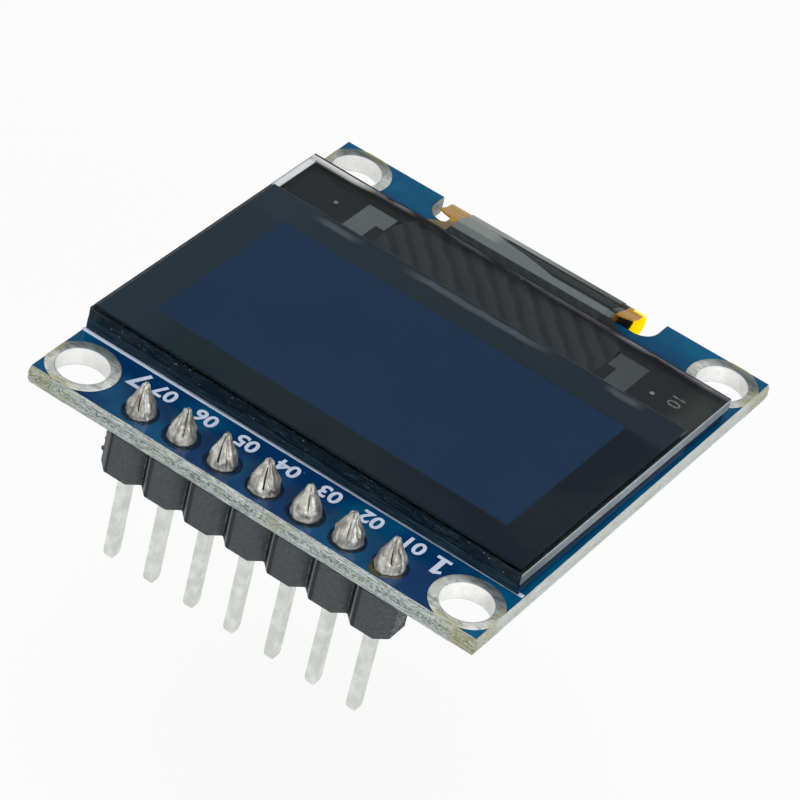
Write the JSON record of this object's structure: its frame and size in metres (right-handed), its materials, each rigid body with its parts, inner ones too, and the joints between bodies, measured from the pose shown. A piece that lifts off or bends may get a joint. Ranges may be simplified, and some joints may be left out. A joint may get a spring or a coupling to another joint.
{
  "type": "small oled module",
  "caption": "Small OLED display module: glass display taped to a square blue circuit board with corner mounting holes, a folded flex through an edge notch, and a single-row pin header.",
  "frame": {"origin": "centre of the four mounting holes, on the back face of their tinned lands", "axes": "+X along the pin row towards pin 7, +Y towards the header edge, +Z out of the display, along the mounting holes"},
  "size_m": [0.0274, 0.028, 0.0115],
  "materials": {
    "pin_metal": "tin-plated brass, bright",
    "solder": "tin solder, satin with flow lines",
    "tinned_metal": "tin plated",
    "tinned_lands": "tinned copper, satin",
    "moulded_epoxy": "black moulded epoxy",
    "capacitor_ceramic": "tan fired ceramic",
    "resistor_body": "alumina with a black overglaze",
    "circuit_board": "glass-epoxy laminate, blue resist on both faces, sawn edge",
    "header_housing": "black moulded plastic",
    "ledge_pad": "black foam strip",
    "display_tape": "black double-sided tape",
    "cap_glass": "sheet glass",
    "front_glass": "sheet glass, polished",
    "desiccant_sheet": "white getter sheet",
    "glass_seal": "cured adhesive",
    "emitter_layers": "thin organic and metal layers",
    "polariser": "dark polarising film",
    "driver_chip": "bare silicon",
    "chip_resin": "dark protective resin",
    "electrode_pads": "thin metal film on glass",
    "bonding_film": "conductive adhesive film",
    "flex_circuit": "amber polyimide, translucent",
    "flex_coverlay": "black coverlay film, satin"
  },
  "bodies": {
    "root": {"bonding_film": "bonding_film", "cap_glass": "cap_glass", "capacitor_1": "capacitor_ceramic", "capacitor_2": "capacitor_ceramic", "capacitor_3": "capacitor_ceramic", "capacitor_4": "capacitor_ceramic", "capacitor_5": "capacitor_ceramic", "capacitor_6": "capacitor_ceramic", "capacitor_7": "capacitor_ceramic", "capacitor_8": "capacitor_ceramic", "capacitor_terminals": "tinned_metal", "chip_resin": "chip_resin", "circuit_board": "circuit_board", "component_solder": "solder", "desiccant_sheet": "desiccant_sheet", "diode_body": "moulded_epoxy", "diode_leads": "tinned_metal", "display_tape": "display_tape", "driver_chip": "driver_chip", "electrode_pads": "electrode_pads", "emitter_layers": "emitter_layers", "flex_circuit": "flex_circuit", "flex_contacts": "solder", "flex_coverlay": "flex_coverlay", "front_glass": "front_glass", "glass_seal": "glass_seal", "header_housing": "header_housing", "header_pin_1": "pin_metal", "header_pin_2": "pin_metal", "header_pin_3": "pin_metal", "header_pin_4": "pin_metal", "header_pin_5": "pin_metal", "header_pin_6": "pin_metal", "header_pin_7": "pin_metal", "ledge_pad": "ledge_pad", "mounting_hole_lands": "tinned_lands", "polariser": "polariser", "regulator_body": "moulded_epoxy", "regulator_leads": "tinned_metal", "resistor_1": "resistor_body", "resistor_2": "resistor_body", "resistor_3": "resistor_body", "resistor_4": "resistor_body", "resistor_5": "resistor_body", "resistor_6": "resistor_body", "resistor_7": "resistor_body", "resistor_terminals": "tinned_metal", "solder_joint_1": "solder", "solder_joint_2": "solder", "solder_joint_3": "solder", "solder_joint_4": "solder", "solder_joint_5": "solder", "solder_joint_6": "solder", "solder_joint_7": "solder"}
  },
  "joints": []
}
